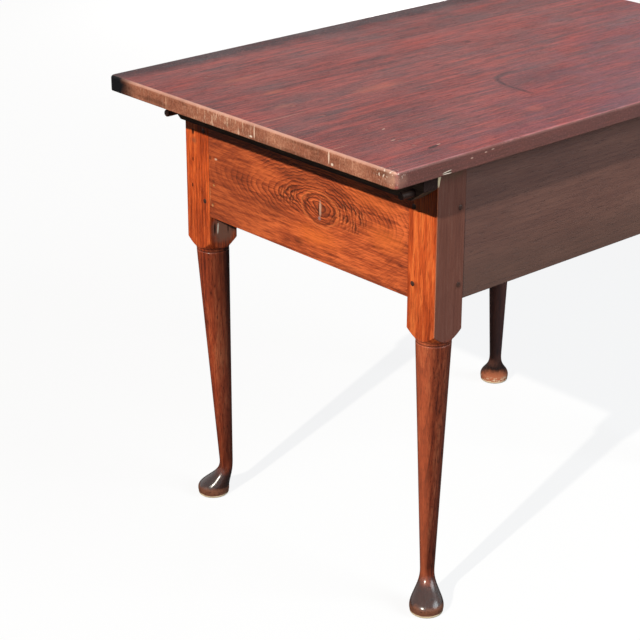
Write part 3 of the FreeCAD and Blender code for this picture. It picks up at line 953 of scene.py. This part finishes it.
# end aprons: the left one has an eye in it that the rings swirl round
apronLook = {
    "grain": "y", "shift": (0.0, 0.0, 0.0), "rings": 0.55, "ringEdge": 2.6, "ringGap": 0.0044,
    "streaks": 0.3, "streakSize": (8, 60, 60),
    "fibres": 1.2, "patches": 0.7, "patchSize": (11, 18, 18), "gloss": 0.44, "polish": 0.15,
    "tones": ((0.14, tint(78, 35, 24)), (0.38, tint(142, 64, 38)),
              (0.58, tint(182, 84, 47)), (0.84, tint(228, 114, 62))),
}
apronEye = {
    "y": -0.038, "z": 0.592, "leftDraw": 0.36, "rightDraw": 0.46, "squareness": 1.7,
    "wander": 0.026, "wanderSize": 17.0, "tremble": 0.007, "trembleSize": 75.0,
}


def eyeRings(place):
    e = apronEye
    bent = place.moved(place.noise(e["wanderSize"], 2.0, out="Color"), (e["wander"],) * 3)
    bent = bent.moved(place.noise(e["trembleSize"], 2.0, out="Color"), (e["tremble"],) * 3)
    y, z = bent.parts()[1:]
    middle = (e["wander"] + e["tremble"]) / 2  # what the two noises add on the whole
    side = e["y"] + middle - y  # to the right of the eye is positive
    side = side * (e["leftDraw"] + side.step(-0.03, 0.06) * (e["rightDraw"] - e["leftDraw"]))
    rise = z - e["z"] - middle
    return (abs(side) ** e["squareness"] + abs(rise) ** e["squareness"] + 0.00012) ** 0.588


apronFace = tableAprons["setback"] - tableFrame["halfLength"]
eyeMarks = [
    ((apronFace, y, z), (deep, wide, tall), flat, stain, share, soft)
    for y, z, deep, wide, tall, stain, share, soft in (
        (-0.03, 0.542, 0.02, 0.075, 0.024, tint(232, 116, 50), 0.55, 1.0),
        (-0.175, 0.578, 0.02, 0.06, 0.03, tint(228, 116, 52), 0.5, 1.0),
        (-0.15, 0.628, 0.02, 0.09, 0.022, tint(222, 112, 52), 0.4, 1.0),
        (0.01, 0.524, 0.02, 0.016, 0.007, tint(96, 44, 28), 0.6, 0.9),
        (0.07, 0.56, 0.02, 0.07, 0.024, tint(116, 56, 36), 0.4, 1.0),
        (0.0, 0.626, 0.02, 0.1, 0.018, tint(120, 60, 38), 0.4, 1.0),
        (-0.1, 0.51, 0.02, 0.14, 0.012, tint(120, 62, 40), 0.4, 1.0),
        (-0.043, 0.586, 0.01, 0.026, 0.017, tint(116, 58, 38), 0.6, 0.9),
        (-0.0372, 0.588, 0.01, 0.0034, 0.0165, tint(206, 172, 150), 0.75, 0.7),
        (-0.0352, 0.5725, 0.01, 0.0042, 0.0042, tint(150, 140, 140), 0.7, 0.7),
        (-0.0335, 0.586, 0.01, 0.0012, 0.013, tint(30, 18, 16), 0.8, 0.5),
        (0.203, 0.604, 0.01, 0.004, 0.0022, tint(222, 186, 160), 0.85, 0.6),
        (0.209, 0.5605, 0.01, 0.003, 0.0024, tint(196, 150, 96), 0.7, 0.6),
        (0.213, 0.527, 0.01, 0.003, 0.0032, tint(206, 160, 110), 0.7, 0.6),
        (0.219, 0.545, 0.01, 0.0014, 0.02, tint(204, 140, 90), 0.6, 0.7),
        (0.217, 0.603, 0.01, 0.006, 0.0045, tint(70, 36, 26), 0.65, 0.8),
        (0.21, 0.567, 0.01, 0.006, 0.0035, tint(70, 36, 26), 0.6, 0.8),
        (0.212, 0.53, 0.01, 0.007, 0.004, tint(80, 42, 30), 0.5, 0.8),
    )]


def bareInside(place, colour, rough, depth):  # the unseen side is sawn and bare; depth is from the outer face
    back = tableAprons["setback"] + tableAprons["thickness"]
    inside = depth.step(back - 0.0012, back - 0.0004)
    bare = place.speckle((30, 30, 260), 2.0).ramp((0.3, tint(92, 66, 46)), (0.7, tint(140, 106, 76)))
    return colour.tinted(inside * 0.85, bare), rough + inside * 0.35


def eyeDress(place, colour, rough, height, polish):
    x, y = place.parts()[:2]
    shake = place.speckle((70, 70, 70), 3.0, 0.6)
    colour = colour.tinted((y + (shake - 0.5) * 0.1).step(-0.03, 0.19) * 0.42, tint(122, 58, 36))
    # the grain buckles in short ripples on both sides of the eye
    fromEye = place.spot((apronFace, -0.036, 0.588), (1, 1, 0.72))
    ripple = place.maths("FRACT", fromEye / 0.0068 + (shake - 0.5) * 2.4)
    besideLeft = place.spot((apronFace, 0.036, 0.592), (0.03, 0.032, 0.024)).step(1.0, 0.35)
    besideRight = place.spot((apronFace, -0.104, 0.592), (0.03, 0.045, 0.03)).step(1.0, 0.35)
    broken = place.speckle((90, 90, 90), 2.0, 0.5, (2, 2, 2)).step(0.36, 0.56)
    buckled = (besideLeft * 0.75 + besideRight) * broken
    dark = ripple.step(0.3, 0.62) * ripple.step(0.98, 0.7) * buckled
    pale = ripple.step(0.14, 0.06) * buckled
    colour = colour.tinted(dark * 0.9, tint(58, 30, 22))
    colour = colour.tinted(pale * 0.45, tint(236, 160, 104))
    colour = marked(place, colour, eyeMarks)
    rimRing = place.spot((apronFace, -0.0365, 0.5865), (0.02, 0.032, 0.0215)) + (shake - 0.5) * 0.35 - 1.0
    colour = colour.tinted(abs(rimRing).step(0.13, 0.03) * 0.6, tint(74, 36, 24))
    colour = colour.tinted(abs(rimRing - 0.22).step(0.1, 0.02) * 0.4, tint(226, 126, 70))
    colour, rough = bareInside(place, colour, rough, tableFrame["halfLength"] - abs(x))
    return colour, rough, height - dark * 0.5, polish


def endDress(place, colour, rough, height, polish):
    depth = tableFrame["halfLength"] - abs(place.parts()[0])
    return (*bareInside(place, colour, rough, depth), height, polish)


def longDress(place, colour, rough, height, polish):
    y, z = place.parts()[1:]
    colour = colour.tinted(z.step(0.6, 0.51) * 0.4, tint(82, 65, 56))  # greyer towards the lower edge
    return (*bareInside(place, colour, rough, tableFrame["halfWidth"] - abs(y)), height, polish)


def pinDress(place, colour, rough, height, polish):  # bare pale end
    x, y = place.parts()[:2]
    cut = (topPins["outer"] - abs(x)).step(0.0013, 0.0002) * y.step(0.0, 0.1)
    return colour.tinted(cut * 0.8, tint(188, 140, 118)), rough + cut * 0.1, height, polish


def battenDress(place, colour, rough, height, polish):  # painted shade on the upright ends, which sit in shadow under the top
    endShade = (tableFrame["halfWidth"] - abs(place.parts()[1])).step(0.0017, 0.0005)
    return colour.tinted(endShade, (0.25, 0.2, 0.26, 1.0), "MULTIPLY"), rough, height, polish


# looks of the aprons and of the plain pieces
rightApronLook = {**apronLook, "pith": (0.3, 0.42), "ringGap": 0.006, "rings": 0.3}
leftApronLook = {**apronLook, "figure": eyeRings, "ringFade": (0.02, 0.1), "yearBands": 0.5}
# the long aprons' greyer tones carry a painted sky sheen over their dark wood, as on a shaded side
longApronLook = {
    "grain": "x", "rings": 0.12, "streaks": 0.22, "fibres": 0.32, "patches": 0.45, "gloss": 0.42,
    "pith": (-0.3, 0.2), "ringGap": 0.008, "drift": 0.03,
    "tones": ((0.14, tint(71, 51, 46)), (0.38, tint(98, 68, 61)),
              (0.6, tint(112, 78, 68)), (0.88, tint(131, 92, 78))),
}
battenLook = {
    "grain": "y", "rings": 0.2, "gloss": 0.75, "shine": 0.1, "polish": 0.0,
    "tones": ((0.1, tint(60, 46, 38)), (0.4, tint(88, 68, 56)),
              (0.62, tint(108, 86, 68)), (0.9, tint(134, 110, 88))),
}
pinLook = {
    "grain": "x", "rings": 0.15, "gloss": 0.65, "ringGap": 0.002, "polish": 0.1,
    "tones": ((0.1, tint(30, 20, 18)), (0.4, tint(50, 32, 26)),
              (0.62, tint(68, 44, 34)), (0.9, tint(92, 62, 46))),
}
pegLook = {
    "grain": "x", "rings": 0.12, "gloss": 0.55, "ringGap": 0.002,
    "tones": ((0.1, tint(30, 20, 17)), (0.4, tint(54, 34, 27)),
              (0.62, tint(70, 44, 35)), (0.9, tint(92, 60, 47))),
}


def ironFinish(name):  # nail heads, rusted and waxed over with the top
    material, shader, place = newFinish(name)
    scale = place.speckle((700, 700, 700))
    rust = place.speckle((160, 160, 160), 2.0)
    rough = 0.5 + (scale - 0.5) * 0.4
    bump = place.make("ShaderNodeBump", {}, {"Strength": 0.4, "Distance": 0.0004, "Height": scale})
    colour = rust.ramp((0.3, tint(92, 48, 44)), (0.5, tint(122, 62, 54)), (0.72, tint(146, 74, 60)))
    colour.feed(shader["Base Color"])
    rough.feed(shader["Roughness"])
    bump.feed(shader["Normal"])
    return material


# what each piece is made of, how it is dressed, its slot and its body, by the start of its node's name
finishes = {
    "top_board": ("walnut", boardLook, topDress, "walnut_top", "top"),
    "leg": ("walnut", legLook, legDress, "walnut_leg", "base"),
    "tenon_pegs": ("wood", pegLook, None, "peg_wood", "base"),
    "end_apron_left": ("walnut", leftApronLook, eyeDress, "walnut_apron", "base"),
    "end_apron_right": ("walnut", rightApronLook, endDress, "walnut_apron", "base"),
    "long_apron": ("walnut", longApronLook, longDress, "walnut_apron", "base"),
    "batten_nails": ("iron", None, None, "iron_nail", "top"),
    "batten": ("walnut", battenLook, battenDress, "walnut_batten", "top"),
    "top_pin": ("wood", pinLook, pinDress, "pin_wood", None),  # each pin is a body of its own
}


def finishFor(node):
    kind = next(start for start in finishes if node.startswith(start))
    stuff, look, dress, slot, body = finishes[kind]
    name = stuff + "_" + node
    if stuff == "iron":
        return ironFinish(name), slot, body
    seed = sum(ord(letter) for letter in node)  # each piece is cut from another place in the wood
    cut = {"shift": ((seed * 0.37) % 5.0, (seed * 0.11) % 0.9, (seed * 0.23) % 0.7)}
    if kind == "top_board":
        cut = boardCuts[int(node[-1])]
    return walnut(name, {**cut, **look}, dress), slot, body or node


for node, piece in made.items():
    finish, slot, body = finishFor(node)
    piece.name = node.replace("_", "-")
    piece.data.name = piece.name
    piece.data.materials.clear()
    piece.data.materials.append(finish)
    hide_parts(node)
    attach(piece, body)
print("finishes put on", len(made), "pieces")


# floor, light and camera
studio = {
    "floorSize": 14.0, "floorSeen": (0.94, 0.94, 0.94, 1.0), "floorBounce": (0.08, 0.08, 0.08, 1.0),
    "floorGlow": 0.86, "floorRough": 0.9,
    "skyFill": (0.04, 0.056, 0.1, 1.0), "skySeen": (1.0, 1.0, 1.0, 1.0),
}
lamps = {
    "sunLamp": {"from": (-1.0, -0.31, 0.661), "distance": 25.0, "size": 0.4, "power": 7700.0,
                "tint": (1.0, 0.93, 0.82), "at": (-0.2, 0, 0.55)},
    "sideLamp": {"from": (0.35, -1.0, 0.55), "distance": 4.0, "size": 2.4, "power": 125.0,
                 "tint": (0.84, 0.95, 1.0), "at": (0, 0, 0.5)},
    "backLamp": {"from": (0.9, 1.0, 0.0), "distance": 4.0, "size": 0.6, "power": 42.0,
                 "tint": (1.0, 0.96, 0.9), "at": (0, 0, 0.42)},
}
viewpoint = {
    "place": (-2.123985, -1.995436, 1.527399), "yaw": 48.051, "pitch": -22.955, "roll": 0.13,
    "lens": 108.022, "sensor": 36.0, "reach": 100.0,
}


def ifSeen(flow, rays, unseen, seen):  # 1 for the rays named, and one colour for them and one for the rest
    rays = flow.make("ShaderNodeLightPath", {}, {}, rays)
    share = flow.maths("MINIMUM", sum(rays[1:], rays[0]), 1.0)
    return share, flow.make("ShaderNodeMix", {"data_type": "RGBA"}, {0: share, 6: unseen, 7: seen}, 2)


bpy.ops.object.select_all(action="DESELECT")
bpy.ops.mesh.primitive_plane_add(size=studio["floorSize"], location=(0, 0, 0))
floor = settle("floor")
paper = bpy.data.materials.new("pale_floor")
paper.use_nodes = True
tree = paper.node_tree
flow = Flow(tree)
shader = tree.nodes["Principled BSDF"]
shader.inputs["Roughness"].default_value = studio["floorRough"]
shader.inputs["Specular IOR Level"].default_value = 0.0
rays = ("Is Camera Ray", "Is Transmission Ray")
share, paperTint = ifSeen(flow, rays, studio["floorBounce"], studio["floorSeen"])
paperTint.feed(shader.inputs["Base Color"])
glow = flow.make("ShaderNodeEmission", {}, {"Color": (1.0, 1.0, 1.0, 1.0), "Strength": 1.0})
mixed = flow.make("ShaderNodeMixShader", {}, {
    0: share * studio["floorGlow"], 1: Flow(tree, shader.outputs[0]), 2: glow})
mixed.feed(tree.nodes["Material Output"].inputs["Surface"])
floor.data.materials.append(paper)
floor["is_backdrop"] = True

world = bpy.data.worlds.new("studio")
scene.world = world
world.use_nodes = True
rays = ("Is Camera Ray", "Is Glossy Ray", "Is Transmission Ray")
sky = ifSeen(Flow(world.node_tree), rays, studio["skyFill"], studio["skySeen"])[1]
sky.feed(world.node_tree.nodes["Background"].inputs["Color"])

for name, setting in lamps.items():
    lamp = bpy.data.lights.new(name, "AREA")
    lamp.shape = "DISK"
    lamp.size = setting["size"]
    lamp.energy = setting["power"]
    lamp.color = setting["tint"]
    holder = bpy.data.objects.new(name, lamp)
    scene.collection.objects.link(holder)
    back = Vector(setting["from"]).normalized()
    holder.location = Vector(setting["at"]) + back * setting["distance"]
    holder.rotation_euler = (-back).to_track_quat("-Z", "Y").to_euler()

yaw, pitch, roll = (math.radians(viewpoint[key]) for key in ("yaw", "pitch", "roll"))
ahead = Vector((math.cos(yaw) * math.cos(pitch), math.sin(yaw) * math.cos(pitch), math.sin(pitch)))
right = Vector((math.sin(yaw), -math.cos(yaw), 0))
above = right.cross(ahead)
rolledRight = right * math.cos(roll) + above * math.sin(roll)
rolledUp = above * math.cos(roll) - right * math.sin(roll)
lens = bpy.data.cameras.new("viewpoint")
lens.lens = viewpoint["lens"]
lens.sensor_width = viewpoint["sensor"]
lens.clip_end = viewpoint["reach"]
holder = bpy.data.objects.new("viewpoint", lens)
scene.collection.objects.link(holder)
holder.location = viewpoint["place"]
holder.rotation_euler = Matrix((rolledRight, rolledUp, -ahead)).transposed().to_euler()
scene.camera = holder
scene.view_settings.view_transform = "Standard"
print("floor, lamps and camera placed")

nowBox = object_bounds()
{"cad": [list(point) for point in cadBox], "visual": [list(point) for point in nowBox]}
